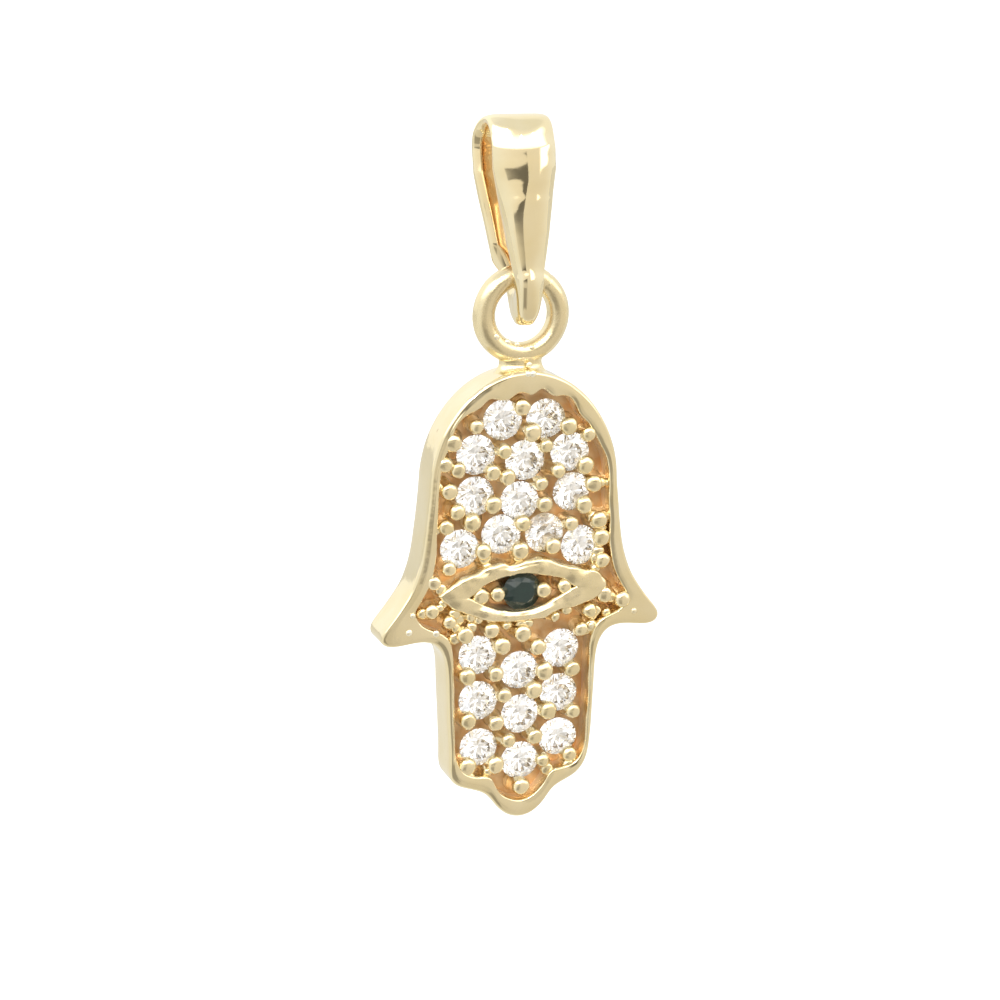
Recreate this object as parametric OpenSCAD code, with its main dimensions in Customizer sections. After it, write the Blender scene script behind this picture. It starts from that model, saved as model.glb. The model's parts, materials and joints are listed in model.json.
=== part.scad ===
// Hand pendant: a domed hand with two flared thumbs and three joined fingers. Its sunk face is set
// with small round stones round an almond eye, and its top ring hangs on a tapered bail.
// X is to the right, -Y is the face and +Z is up. The origin is where a chain bears in the bail.

/* [Hand outline] */
// Half width of the palm at the foot of its domed top
palm_half_w = 3.00; // [2.95:0.05:3.10]
// Height of the domed top
dome_h = 3.60; // [3.50:0.05:3.70]
// Half width across the thumb tips
thumb_half_w = 4.54; // [4.40:0.02:4.70]
// Radius of a thumb tip
thumb_tip_r = 0.33; // [0.28:0.01:0.36]
// Half width of the joined fingers below the thumbs
finger_half_w = 2.44; // [2.40:0.01:2.50]
// Radius of the middle fingertip
fingertip_r = 1.00; // [0.95:0.01:1.05]

/* [Rim and tray] */
// Thickness of the hand from face to back
hand_t = 1.35; // [1.25:0.05:1.50]
// Width of the rim along the sides of the palm
rim_w = 0.30; // [0.26:0.02:0.32]
// Width of the rim over the crown of the dome
crown_rim_w = 0.53; // [0.48:0.01:0.56]
// Rounding of the rim's outer edge
rim_round = 0.13; // [0.08:0.01:0.16]
// Depth of the tray's floor behind the face of the rim
floor_depth = 0.62; // [0.58:0.02:0.70]
// Thickness of the tray's floor
floor_t = 0.42; // [0.36:0.02:0.50]

/* [Stones] */
// Diameter of every stone
stone_d = 1.22; // [1.16:0.01:1.24]
// Clearance between a stone and its seat
seat_gap = 0.03; // [0.02:0.01:0.04]
// Depth of the stones' girdles behind the face of the rim
girdle_depth = 0.28; // [0.24:0.02:0.32]
// Crown angle of the cut, in degrees
crown_angle = 34.5; // [32:0.5:36]
// Pavilion angle of the cut, in degrees
pavilion_angle = 40.75; // [40:0.25:42]
// Diameter of the light hole drilled behind each stone
light_hole_d = 0.70; // [0.56:0.02:0.74]

/* [Prongs and eye] */
// Diameter of a prong's head
prong_d = 0.46; // [0.42:0.01:0.48]
// Half length of the eye outline
eye_half_l = 2.72; // [2.66:0.02:2.76]
// Half height of the eye outline
eye_half_h = 1.02; // [0.98:0.01:1.04]
// Half length of the opening in the eye outline
eye_hole_half_l = 1.70; // [1.60:0.02:1.76]
// Half height of the opening in the eye outline
eye_hole_half_h = 0.54; // [0.50:0.01:0.56]

/* [Ring] */
// Radius of the top ring, to the middle of its wire
ring_r = 1.165; // [1.140:0.005:1.180]
// Diameter of the top ring's wire
ring_wire_d = 0.67; // [0.62:0.01:0.70]

/* [Bail] */
// Width of the bail's band at the top
bail_w = 1.95; // [1.80:0.05:2.10]
// Width of the bail across its tip
bail_tip_w = 0.86; // [0.80:0.02:0.90]
// Distance from the ring's wire to the middle of the bail's upper curve
bail_reach = 3.75; // [3.40:0.05:4.20]
// Radius of the opening where the chain passes
chain_hole_r = 0.62; // [0.50:0.02:0.68]
// Wall of the bail
bail_wall = 0.34; // [0.30:0.02:0.40]
// Thickness of the bail's tip below the ring's wire
bail_tip_t = 0.86; // [0.70:0.02:0.92]
// Angle by which the bail leans back from the hand at rest, in degrees
bail_lean = 10; // [0:1:14]
// Clearance between the ring's wire and the bail
hinge_gap = 0.045; // [0.030:0.005:0.060]

/* [Hidden] */
stone_names = [for (i = [1:21]) str("stone_", i < 10 ? "0" : "", i)];

gold = "#e3c88f";
clear_white = "#f2f4f6";
dark_green = "#1c2b29";
fine = 48;

// Heights in the hand's own frame, whose origin is the middle of the top ring
dome_foot_z = -5.20;
crown_z = dome_foot_z + dome_h;
thumb_z = -9.56;
armpit_r = 0.70;
finger_foot_z = -13.90;
lobe_r = 0.60;
fingertip_z = -14.78;
eye_z = -8.40;
ring_depth = hand_t / 2;
wire_r = ring_wire_d / 2;

// Columns: half spacing, height. Each row stands for a left and a right stone
STONE_PAIRS = [
  [0.71, -3.11],
  [1.50, -4.13],
  [1.55, -5.40],
  [0.69, -6.64],
  [1.91, -7.08],
  [1.35, -10.39],
  [1.32, -11.84],
  [1.31, -13.34],
];
// Heights of the stones on the middle line
STONE_MIDDLES = [-4.37, -5.56, -10.99, -12.41, -13.93];
eye_stone_z = -8.44;

// Columns: half spacing, height. Each row stands for a left and a right prong
PRONG_PAIRS = [
  [1.47, -3.22], [0.68, -3.93], [2.12, -3.72], [2.28, -4.66], [0.99, -4.70], [0.47, -5.01],
  [2.38, -5.22], [0.84, -5.74], [2.06, -5.88], [1.44, -6.22], [2.42, -6.36], [2.48, -7.60],
  [1.22, -7.22], [2.86, -8.70], [2.30, -9.20], [1.94, -9.76], [0.95, -9.66], [0.60, -10.23],
  [1.72, -11.10], [0.74, -11.08], [0.52, -11.66], [1.72, -12.58], [0.72, -12.58], [0.50, -13.16],
  [1.72, -14.00], [0.78, -14.02], [0.74, -8.40], [1.40, -8.40],
];
// Heights of the prongs on the middle line
PRONG_MIDDLES = [-2.64, -3.62, -6.27, -7.12, -9.76, -14.72];

function cubic(a, b, c, d, t) =
  a * pow(1 - t, 3) + b * 3 * t * pow(1 - t, 2) + c * 3 * t * t * (1 - t) + d * pow(t, 3);
// Points of a curve from a to d, without its last point
function curve(a, b, c, d, n) = [for (i = [0:n - 1]) cubic(a, b, c, d, i / n)];
// Points of an arc from angle a0 towards a1, with its last point
function arc(c, rx, rz, a0, a1, n) =
  [for (i = [0:n]) let (a = a0 + (a1 - a0) * i / n) c + [rx * cos(a), rz * sin(a)]];

// The right half of an outline, from the crown down to the middle fingertip. The outer edge and the
// inner edge are drawn by the same stretches, so their points pair up
function half_outline(palm, top, thumb, thumb_in, tip_r, finger, armpit, foot, lobe, tip, spread) =
  concat(
    arc([0, dome_foot_z], palm, top, 90, 9, 12),
    curve([palm, dome_foot_z], [palm + 0.08, -6.90], [palm + spread, -7.95],
      [thumb - tip_r * 0.30, thumb_in + tip_r * 0.80], 10),
    arc([thumb - tip_r, thumb_in], tip_r, tip_r, 40, -80, 5),
    arc([finger + armpit, thumb_in - tip_r + 0.10 - armpit], armpit, armpit, 92, 180, 7),
    arc([finger - 0.11 - lobe, foot], lobe, lobe, 0, -57, 5),
    arc([0, fingertip_z + (fingertip_r - tip) * 0.45], tip, tip, -22, -90, 7)
  );
// Both halves as one loop
function whole(half) =
  concat(half, [for (i = [len(half) - 2:-1:1]) [-half[i][0], half[i][1]]]);

outer_edge = whole(half_outline(palm_half_w, dome_h, thumb_half_w, thumb_z, thumb_tip_r,
  finger_half_w, armpit_r, finger_foot_z, lobe_r, fingertip_r, 0.35));
inner_edge = whole(half_outline(palm_half_w - rim_w, dome_h - crown_rim_w, thumb_half_w - 1.06,
  -9.02, 0.28, finger_half_w - 0.20, armpit_r + 0.08, -13.86, 0.22, 0.88, 0.16));

// Joins the rings of a loft into a closed loop of walls
function ring_faces(rings, m) =
  [for (i = [0:rings - 1], j = [0:m - 1])
    let (a = i * m + j, b = i * m + (j + 1) % m, k = ((i + 1) % rings) * m)
    each [[a, k + j, b], [b, k + j, k + (j + 1) % m]]];

// Moves a flat shape, drawn as the face is seen, into the hand: back is its rear face
module facing(back, thickness) {
  translate([0, back, 0]) rotate([90, 0, 0]) linear_extrude(thickness) children();
}

// A turned solid whose axis points at the viewer, from a profile of radius and height
module turned(x, z, depth, profile) {
  translate([x, depth, z]) rotate([90, 0, 0]) rotate_extrude($fn = fine) polygon(profile);
}

module at_stones() {
  for (p = STONE_PAIRS, side = [-1, 1]) translate([side * p[0], 0, p[1]]) children();
  for (z = STONE_MIDDLES) translate([0, 0, z]) children();
  translate([0, 0, eye_stone_z]) children();
}

// The raised rim, a loft of one section of eight points round the outline
module rim() {
  n = len(outer_edge);
  section = 8;
  r = rim_round;
  points = [for (i = [0:n - 1])
    let (o = outer_edge[i], q = inner_edge[i], d = (q - o) / norm(q - o))
    each [
      for (s = [
        [o, r], [o + d * r * 0.3, r * 0.3], [o + d * r, 0], [q - d * r * 0.5, 0],
        [q, r * 0.5], [q, hand_t], [o + d * r, hand_t], [o, hand_t - r]
      ]) [s[0][0], s[1], s[0][1]]
    ]];
  polyhedron(points, ring_faces(n, section));
}

// The floor of the tray, let into the rim all round
module tray_floor() {
  facing(floor_depth + floor_t, floor_t)
    polygon([for (i = [0:len(outer_edge) - 1]) (outer_edge[i] + inner_edge[i]) / 2]);
}

// Half height of the almond at a share u of its half length
function almond(u) = 0.5 * sqrt(1 - u * u) + 0.5 * (1 - u * u);

// The raised almond, which stands as high as the rim
module eye_outline() {
  steps = 14;
  hole_steps = 8;
  proud = 0.06;
  top = [for (i = [-steps:steps]) let (u = i / steps)
    [eye_half_l * u, eye_z + eye_half_h * almond(u)]];
  bottom = [for (i = [steps - 1:-1:1 - steps]) let (u = i / steps)
    [eye_half_l * u, eye_z - eye_half_h * almond(u)]];
  hole_top = [for (i = [-hole_steps:hole_steps]) let (u = i / hole_steps)
    [eye_hole_half_l * u, eye_z + eye_hole_half_h * (1 - u * u)]];
  hole_bottom = [for (i = [hole_steps - 1:-1:1 - hole_steps]) let (u = i / hole_steps)
    [eye_hole_half_l * u, eye_z - eye_hole_half_h * (1 - u * u)]];
  facing(floor_depth + proud, floor_depth + 2 * proud) difference() {
    polygon(concat(top, bottom));
    polygon(concat(hole_top, hole_bottom));
  }
}

// A round post with a bevelled head, from inside the floor to just above the rim
module prong(x, z) {
  r = prong_d / 2;
  sunk = 0.07;
  bevel = 0.10;
  h = floor_depth + sunk + 0.03;
  turned(x, z, floor_depth + sunk, [[0, 0], [r, 0], [r, h - bevel], [r * 0.62, h], [0, h]]);
}

module prongs() {
  for (p = PRONG_PAIRS, side = [-1, 1]) prong(side * p[0], p[1]);
  for (z = PRONG_MIDDLES) prong(0, z);
}

module top_ring() {
  translate([0, ring_depth, 0]) rotate([90, 0, 0])
    rotate_extrude($fn = fine) translate([ring_r, 0]) circle(wire_r, $fn = fine);
}

// The short neck that joins the ring to the crown. Its foot spreads and ends inside the rim
module neck() {
  neck_t = 0.80;
  neck_half_w = 0.70;
  foot_half_w = 0.98;
  top_z = -1.22;
  foot_z = crown_z - 0.22;
  waist = [neck_half_w + 0.04, -1.45];
  facing(ring_depth + neck_t / 2, neck_t)
    polygon([[-neck_half_w, top_z], [neck_half_w, top_z], waist, [foot_half_w, foot_z],
      [-foot_half_w, foot_z], [-waist[0], waist[1]]]);
}

// Room for one stone: its crown and girdle with clearance, and the light hole behind it
module stone_seat() {
  r = stone_d / 2 + seat_gap;
  hole_r = light_hole_d / 2;
  half_girdle = 0.03;
  turned(0, 0, girdle_depth, [
    [0, r * tan(crown_angle) + half_girdle], [r, half_girdle], [r, -half_girdle],
    [hole_r, -half_girdle - (r - hole_r) * tan(pavilion_angle)], [hole_r, -hand_t], [0, -hand_t]
  ]);
}

module hand_setting() {
  color(gold) placed() difference() {
    union() {
      rim();
      tray_floor();
      eye_outline();
      prongs();
      neck();
      top_ring();
    }
    at_stones() stone_seat();
  }
}

// A round brilliant: table, crown, girdle and pavilion, with eight of each main facet
module brilliant() {
  r = stone_d / 2;
  table_r = r * 0.56;
  crown_h = (r - table_r) * tan(crown_angle);
  star_r = table_r + (r - table_r) * 0.42;
  half_girdle = 0.018;
  lower_r = r * 0.42;
  culet_h = -half_girdle - r * tan(pavilion_angle);
  function loop(n, rr, h, turn) =
    [for (i = [0:n - 1]) [rr * cos(360 / n * i + turn), -h, rr * sin(360 / n * i + turn)]];
  // Points: 8 at the table, 8 on the stars, 16 and 16 at the girdle, 8 below it, one at the culet
  points = concat(
    loop(8, table_r, half_girdle + crown_h, 0),
    loop(8, star_r, half_girdle + crown_h * 0.62, 22.5),
    loop(16, r, half_girdle, 0),
    loop(16, r, -half_girdle, 0),
    loop(8, lower_r, culet_h * 0.56, 22.5),
    [[0, -culet_h, 0]]
  );
  faces = concat(
    [[for (i = [0:7]) i]],
    [for (i = [0:7]) let (j = (i + 1) % 8) [i, 8 + i, j]],
    [for (i = [0:7]) let (h = (i + 7) % 8) each [[i, 8 + h, 16 + 2 * i], [i, 16 + 2 * i, 8 + i]]],
    [for (i = [0:7]) let (k = 16 + (2 * i + 2) % 16)
      each [[8 + i, 16 + 2 * i, 17 + 2 * i], [8 + i, 17 + 2 * i, k]]],
    [for (i = [0:15]) let (j = (i + 1) % 16)
      each [[16 + i, 32 + i, 32 + j], [16 + i, 32 + j, 16 + j]]],
    [for (i = [0:7]) let (k = 32 + (2 * i + 2) % 16)
      each [[32 + 2 * i, 48 + i, 33 + 2 * i], [33 + 2 * i, 48 + i, k]]],
    [for (i = [0:7]) let (h = (i + 7) % 8)
      each [[32 + 2 * i, 56, 48 + i], [32 + 2 * i, 48 + h, 56]]]
  );
  translate([0, girdle_depth, 0]) polyhedron(points, faces);
}

STONE_PLACES = concat(
  [for (p = STONE_PAIRS, side = [-1, 1]) [side * p[0], p[1]]],
  [for (z = STONE_MIDDLES) [0, z]]
);

module stone(i) {
  color(clear_white) placed() translate([STONE_PLACES[i][0], 0, STONE_PLACES[i][1]]) brilliant();
}

module eye_stone() {
  color(dark_green) placed() translate([0, 0, eye_stone_z]) brilliant();
}

// The bail, upright, with the middle of the ring's wire as its origin
bail_top = bail_reach + chain_hole_r + bail_wall;
bail_half_d = chain_hole_r + bail_wall;
hinge_r = wire_r + hinge_gap;
tip_z = -hinge_r - bail_tip_t;
bail_rows = 22;

// Half depth of the bail at a height, from its round top down its legs to its rounded tip
function bail_depth(z) =
  let (leg_half = 0.78, bend_z = 0.10, leg_top = bail_reach + 0.10,
    k = (z - bend_z) / (leg_top - bend_z))
  z >= leg_top ? sqrt(max(0, pow(bail_half_d, 2) - pow(z - bail_reach, 2))) :
  z >= bend_z ? leg_half + (bail_half_d - leg_half) * (k * (2 - k)) :
  leg_half * sqrt(max(0, 1 - pow((z - bend_z) / (tip_z - bend_z), 2)));
// Half width of the bail at a height, from its wide band down to its tongue
function bail_width(z) =
  let (band_z = bail_reach - 0.70, tip_half = bail_tip_w / 2 + 0.05)
  z >= band_z ? bail_w / 2 :
  z >= 0 ? tip_half + (bail_w / 2 - tip_half) * z / band_z :
  tip_half * pow(max(0, 1 - pow(z / tip_z, 2.6)), 0.42);

// A slice of the bail, a rectangle with well rounded sides, as a ring of points
function bail_slice(z, n) =
  let (w = bail_width(z), d = bail_depth(z), blocky = 0.42, soft = 0.70,
    power = z > 0 ? blocky : soft)
  [for (j = [0:n - 1]) let (a = 360 / n * (j + 0.5))
    [w * sign(cos(a)) * pow(abs(cos(a)), blocky), d * sign(sin(a)) * pow(abs(sin(a)), power), z]];

module bail_solid() {
  n = 24;
  heights = [for (i = [0:bail_rows]) let (s = 0.5 - 0.5 * cos(4 + 172 * i / bail_rows))
    tip_z + (bail_top - tip_z) * s];
  slices = [for (z = heights) each bail_slice(z, n)];
  rows = bail_rows + 1;
  sides = [for (i = [0:rows - 2], j = [0:n - 1])
    let (a = i * n + j, b = i * n + (j + 1) % n)
    each [[a, a + n, b], [b, a + n, b + n]]];
  caps = [[for (j = [0:n - 1]) j], [for (j = [n - 1:-1:0]) (rows - 1) * n + j]];
  polyhedron(slices, concat(sides, caps));
}

// Room for the ring's wire at every angle of swing, turned about the hinge. It flares with the
// inside of the ring as the wire bends away from the hinge
module hinge_saddle() {
  hole_r = ring_r - wire_r;
  stations = [0, 0.20, 0.38, 0.54, 0.68];
  last = len(stations) - 1;
  flare = [for (x = stations) ring_r - sqrt(hole_r * hole_r - x * x) + hinge_gap];
  profile = concat(
    [[0, -stations[last]]],
    [for (i = [last:-1:0]) [flare[i], -stations[i]]],
    [for (i = [1:last]) [flare[i], stations[i]]],
    [[0, stations[last]]]
  );
  rotate([0, 90, 0]) rotate_extrude($fn = fine) polygon(profile);
}

module bail_opening() {
  inset = 0.02;
  through = bail_w + 1;
  translate([0, 0, bail_reach]) rotate([0, 90, 0])
    cylinder(r = chain_hole_r, h = through, center = true, $fn = fine);
  hinge_saddle();
  rotate([90, 0, 90]) translate([0, 0, -through / 2]) linear_extrude(through)
    polygon([[-hinge_r + inset, 0], [hinge_r - inset, 0],
      [chain_hole_r - inset, bail_reach], [-chain_hole_r + inset, bail_reach]]);
}

// Where the chain bears: straight above the middle of the bail's upper curve
seat_y = ring_depth + bail_reach * sin(bail_lean);
seat_z = ring_r + bail_reach * cos(bail_lean) + chain_hole_r;

module placed() {
  translate([0, -seat_y, -seat_z]) children();
}

module bail() {
  color(gold) placed() translate([0, ring_depth, ring_r]) rotate([-bail_lean, 0, 0])
    difference() {
      bail_solid();
      bail_opening();
    }
}

bail();
hand_setting();
eye_stone();
for (i = [0:20]) stone(i);
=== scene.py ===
"""A small cast gold hand pendant.

Raised rim, pierced tray, bead prongs, carved eye, set stones, top ring and bail.
"""

import json
import math
from functools import reduce

import bpy
import numpy as np
from mathutils import Matrix, Vector, noise


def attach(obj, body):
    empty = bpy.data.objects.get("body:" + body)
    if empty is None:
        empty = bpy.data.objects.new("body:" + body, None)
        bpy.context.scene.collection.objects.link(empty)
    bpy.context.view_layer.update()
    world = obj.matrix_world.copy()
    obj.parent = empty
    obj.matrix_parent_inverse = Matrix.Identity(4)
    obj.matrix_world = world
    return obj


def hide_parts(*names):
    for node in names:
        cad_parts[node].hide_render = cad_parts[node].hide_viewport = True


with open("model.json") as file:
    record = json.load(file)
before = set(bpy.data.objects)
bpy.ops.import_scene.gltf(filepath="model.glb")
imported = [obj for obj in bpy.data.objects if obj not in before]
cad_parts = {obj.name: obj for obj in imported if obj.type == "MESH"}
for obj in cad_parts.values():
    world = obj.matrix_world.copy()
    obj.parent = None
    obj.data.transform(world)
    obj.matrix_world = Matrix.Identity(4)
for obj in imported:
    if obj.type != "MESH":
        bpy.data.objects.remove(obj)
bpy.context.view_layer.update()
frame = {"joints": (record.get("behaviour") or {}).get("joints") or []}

MM = 0.001
# The hand is drawn in mm: the ring's middle is at x = 0, z = 0, and the rim's face at depth 0
HAND_T = 1.35
RING_R = 1.165
WIRE_R = 0.335
HINGE = Vector(frame["joints"][0]["pos_m"])
DRAWING_ORIGIN = np.array(HINGE) / MM - np.array([0, HAND_T / 2, RING_R])

# The crown is half an ellipse, and so is the plain edge of the recess in it
PALM_HALF_W = 3.00
DOME_H = 3.60
DOME_FOOT_Z = -5.20
RECESS_HALF_W = 2.70
RECESS_H = 3.07
FLOOR_DEPTH = 0.62
FLOOR_T = 0.42
TRAY_MIDDLE = FLOOR_DEPTH + FLOOR_T / 2
GIRDLE_DEPTH = 0.28
STONE_D = 1.22
LIGHT_HOLE_R = 0.35
# Turned pieces stand on the tray, sunk in it by this much
SUNK = 0.04
# The lobe at the foot of the left finger is fuller than the right one: its middle and its swell, x, z,
# and how far round it that reaches
LEFT_LOBE = (-2.16, -14.22)
LOBE_SWELL = (-0.12, -0.11)
LOBE_REACH = 0.50

# Right edge of the hand below the crown, on the outside and at the recess: x, z, x, z
EDGE_PAIRS = [
    (3.00, -5.20, 2.70, -5.20), (3.07, -5.80, 2.72, -5.80), (3.14, -6.44, 2.76, -6.40),
    (3.22, -7.00, 2.76, -7.00), (3.33, -7.50, 2.84, -7.55), (3.54, -8.07, 3.03, -8.08),
    (3.80, -8.48, 3.19, -8.38), (4.07, -8.86, 3.34, -8.60), (4.37, -9.24, 3.41, -8.72),
    (4.50, -9.42, 3.43, -8.82), (4.53, -9.57, 3.40, -8.93), (4.45, -9.73, 3.35, -9.02),
    (4.22, -9.81, 3.27, -9.13), (3.93, -9.80, 3.15, -9.24), (3.56, -9.75, 2.98, -9.33),
    (3.18, -9.73, 2.77, -9.40), (2.88, -9.80, 2.57, -9.49), (2.67, -9.97, 2.40, -9.65),
    (2.52, -10.24, 2.28, -9.90), (2.45, -10.57, 2.22, -10.27), (2.42, -10.95, 2.20, -10.80),
    (2.40, -11.60, 2.18, -11.55), (2.37, -12.40, 2.16, -12.40), (2.33, -13.10, 2.14, -13.05),
    (2.29, -13.60, 2.10, -13.50), (2.22, -13.98, 2.03, -13.83), (2.06, -14.30, 1.87, -14.06),
    (1.80, -14.54, 1.63, -14.20), (1.46, -14.70, 1.34, -14.25), (1.16, -14.84, 1.08, -14.24),
    (0.97, -15.02, 0.94, -14.32), (0.83, -15.23, 0.89, -14.50), (0.65, -15.44, 0.76, -14.74),
    (0.42, -15.62, 0.56, -14.96), (0.20, -15.71, 0.29, -15.14), (0.00, -15.74, 0.00, -15.23),
]
# Edge of the recess at the crown, from left to right: it laps the first stones between small pits: x, z
CROWN_EDGE = [
    (-2.46, -3.98), (-2.34, -3.68), (-2.25, -3.24), (-2.03, -2.98), (-1.80, -2.80), (-1.54, -2.72),
    (-1.36, -2.60), (-1.25, -2.36), (-1.05, -2.30), (-0.92, -2.45), (-0.48, -2.48), (-0.40, -2.28),
    (-0.22, -2.17), (0.00, -2.25), (0.10, -2.40), (0.29, -2.38), (0.35, -2.14), (0.49, -2.08),
    (0.65, -2.17), (0.77, -2.42), (1.00, -2.44), (1.13, -2.38), (1.35, -2.42), (1.57, -2.70),
    (1.68, -3.05), (1.95, -3.18), (2.09, -3.48), (2.29, -3.76), (2.50, -4.30),
]

# Middles of the white stones: x, z
STONES = [
    (-0.67, -3.08), (0.70, -3.11),
    (-1.50, -4.09), (0.05, -4.35), (1.49, -4.18),
    (-1.52, -5.36), (-0.10, -5.60), (1.57, -5.42),
    (-1.98, -6.96), (-0.67, -6.60), (0.72, -6.66), (1.88, -7.13),
    (-1.38, -10.36), (-0.03, -10.97), (1.32, -10.39),
    (-1.35, -11.83), (0.02, -12.40), (1.28, -11.83),
    (-1.32, -13.35), (0.04, -13.93), (1.28, -13.28),
]
EYE_STONE = (0.03, -8.44)

# Middles of the bead prongs: x, z
PRONGS = [
    (-0.10, -2.70), (-1.53, -3.19), (0.17, -3.50), (1.41, -3.33), (2.03, -3.68), (0.62, -3.93),
    (-0.72, -4.00), (-2.21, -3.63), (-2.49, -4.25), (-2.05, -4.52), (-1.02, -4.62), (-0.57, -4.80),
    (0.99, -4.72), (1.94, -4.60), (0.45, -5.07), (2.33, -5.20), (-2.45, -5.10), (0.69, -5.73),
    (-1.00, -5.63), (-2.13, -5.77), (1.94, -5.82), (-1.56, -6.15), (-0.04, -6.29), (-2.47, -6.23),
    (1.48, -6.41), (2.39, -6.35), (2.54, -6.90), (-1.28, -7.10), (-0.09, -7.10), (0.94, -7.03),
    (-2.34, -7.48), (2.56, -7.60), (-2.82, -7.89), (-2.84, -8.81), (-2.32, -9.17), (2.76, -8.71),
    (3.23, -8.97), (2.21, -9.20), (-1.87, -9.69), (-0.95, -9.55), (-0.65, -10.09), (-0.01, -9.72),
    (0.50, -10.27), (1.97, -9.78), (1.66, -11.06), (-1.77, -10.96), (-0.80, -11.02), (0.80, -11.09),
    (0.42, -11.65), (-0.53, -11.68), (1.66, -12.44), (0.86, -12.35), (-1.72, -12.40), (-0.78, -12.55),
    (0.44, -13.09), (-0.47, -13.22), (-1.75, -13.92), (-0.82, -13.97), (0.79, -13.96), (1.62, -13.86),
    (-0.02, -14.73), (-0.74, -8.42), (0.74, -8.38), (-1.40, -8.44), (1.38, -8.34),
]

# Runs of metal from a prong to its neighbour, the rim or the eye: x, z, x, z
RUNS = [
    (-3.45, -8.86, -2.84, -8.81), (-2.32, -9.17, -2.05, -9.70), (2.21, -9.20, 2.34, -9.66),
    (2.21, -9.20, 2.78, -9.36), (3.23, -8.97, 3.46, -8.90), (2.76, -8.71, 3.23, -8.97),
    (2.76, -8.71, 2.55, -8.62), (-2.21, -3.63, -2.36, -3.42), (2.03, -3.68, 2.20, -3.52),
    (2.39, -6.35, 2.80, -6.25), (2.54, -6.90, 2.84, -6.95), (2.39, -6.35, 2.54, -6.90),
    (-1.28, -14.24, -0.82, -13.97), (0.79, -13.96, 0.98, -14.30), (-0.09, -7.10, -0.05, -7.42),
    (1.94, -5.82, 2.32, -6.24), (2.56, -7.60, 2.54, -6.90), (-1.28, -7.10, -1.20, -7.52),
    (-2.47, -6.23, -2.80, -6.30), (-2.45, -5.10, -2.76, -5.05), (2.33, -5.20, 2.72, -5.15),
    (-1.87, -9.69, -2.30, -9.90), (1.97, -9.78, 2.30, -9.90), (-0.01, -9.72, -0.02, -9.30),
    (-0.95, -9.55, -0.90, -9.20), (-1.75, -13.92, -1.70, -14.28), (1.62, -13.86, 1.66, -14.26),
    (-2.82, -7.89, -2.62, -8.15), (-2.84, -8.81, -2.50, -8.60), (-2.32, -9.17, -2.15, -8.90),
    (-2.32, -9.17, -1.75, -9.10), (2.56, -7.60, 2.50, -7.95), (2.56, -7.60, 2.28, -7.52),
    (0.20, -9.25, 0.24, -9.50), (0.98, -9.10, 1.02, -9.42), (1.46, -8.98, 1.48, -9.24),
    (-1.46, -9.05, -1.50, -9.42), (-0.55, -9.20, -0.52, -9.48),
]

# Small grains of solder on the front of the ring's foot, sunk in its wire by this much: x, z
PIP_SUNK = 0.030
RING_PIPS = [(-0.87, -0.61), (-0.49, -0.80), (-0.17, -0.89), (0.26, -0.98)]
# The same on the neck and the crown below it: x, depth, z
NECK_PIPS = [(0.14, 0.28, -1.46), (0.02, 0.02, -1.68), (0.17, 0.02, -1.69)]
# Small grains on the face: x, z
PIPS = [(3.64, -9.33), (-3.64, -9.36), (-2.79, -9.47), (-3.52, -8.84), (2.22, -9.66)]

# The carved eye, from its left tip to its right tip: x, z
EYE_TOP = [
    (-2.74, -8.32), (-2.40, -8.10), (-2.00, -7.85), (-1.55, -7.69), (-1.15, -7.50), (-0.70, -7.43),
    (-0.38, -7.50), (0.15, -7.42), (0.70, -7.39), (1.10, -7.55), (1.65, -7.76), (2.35, -7.91),
    (2.66, -8.18), (2.72, -8.45),
]
EYE_BOTTOM = [
    (-2.74, -8.32), (-2.58, -8.50), (-2.30, -8.74), (-1.73, -9.01), (-1.00, -9.27), (-0.10, -9.36),
    (0.70, -9.29), (1.20, -9.12), (1.95, -8.96), (2.45, -8.76), (2.72, -8.45),
]
EYE_HOLE_TOP = [
    (-1.74, -8.45), (-1.25, -8.12), (-0.80, -7.94), (-0.27, -7.85), (0.10, -7.83), (0.65, -7.96),
    (1.15, -8.07), (1.68, -8.36),
]
EYE_HOLE_BOTTOM = [
    (-1.74, -8.45), (-1.15, -8.74), (-0.50, -8.95), (0.15, -8.98), (0.68, -8.82), (1.15, -8.62),
    (1.68, -8.36),
]


# Shapes drawn in mm


def spline(points, fineness=12):
    """A smooth curve through the given points, of any number of coordinates."""
    p = np.array(points, float)
    p = np.vstack([2 * p[0] - p[1], p, 2 * p[-1] - p[-2]])
    fine = []
    for i in range(1, len(p) - 2):
        for t in np.linspace(0, 1, fineness, endpoint=False):
            fine.append(0.5 * (2 * p[i] + (p[i + 1] - p[i - 1]) * t
                               + (2 * p[i - 1] - 5 * p[i] + 4 * p[i + 1] - p[i + 2]) * t * t
                               + (3 * p[i] - p[i - 1] - 3 * p[i + 1] + p[i + 2]) * t ** 3))
    return np.array(fine + [p[-2]])


def spaced(fine, count, closed=False):
    """Evenly spaced points along a finely drawn path."""
    if closed:
        fine = np.vstack([fine, fine[:1]])
    length = np.concatenate([[0], np.cumsum(np.linalg.norm(np.diff(fine, axis=0), axis=1))])
    places = np.linspace(0, length[-1], count, endpoint=not closed)
    return np.stack([np.interp(places, length, fine[:, k]) for k in range(fine.shape[1])], 1)


def circle(centre, radius, count):
    turns = np.linspace(0, 2 * math.pi, count, endpoint=False)
    return np.stack([centre[0] + radius * np.cos(turns), centre[1] + radius * np.sin(turns)], 1)


def smooth_path(points, count):
    return spaced(spline(points), count)


def softened(path, passes):
    """A closed path with every point drawn towards its neighbours, several times over."""
    for _ in range(passes):
        path = (np.roll(path, 1, 0) + 2 * path + np.roll(path, -1, 0)) / 4
    return path


def clamp(value):
    return min(1.0, max(0.0, value))


def smoothstep(value):
    value = clamp(value)
    return value * value * (3 - 2 * value)


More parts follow.
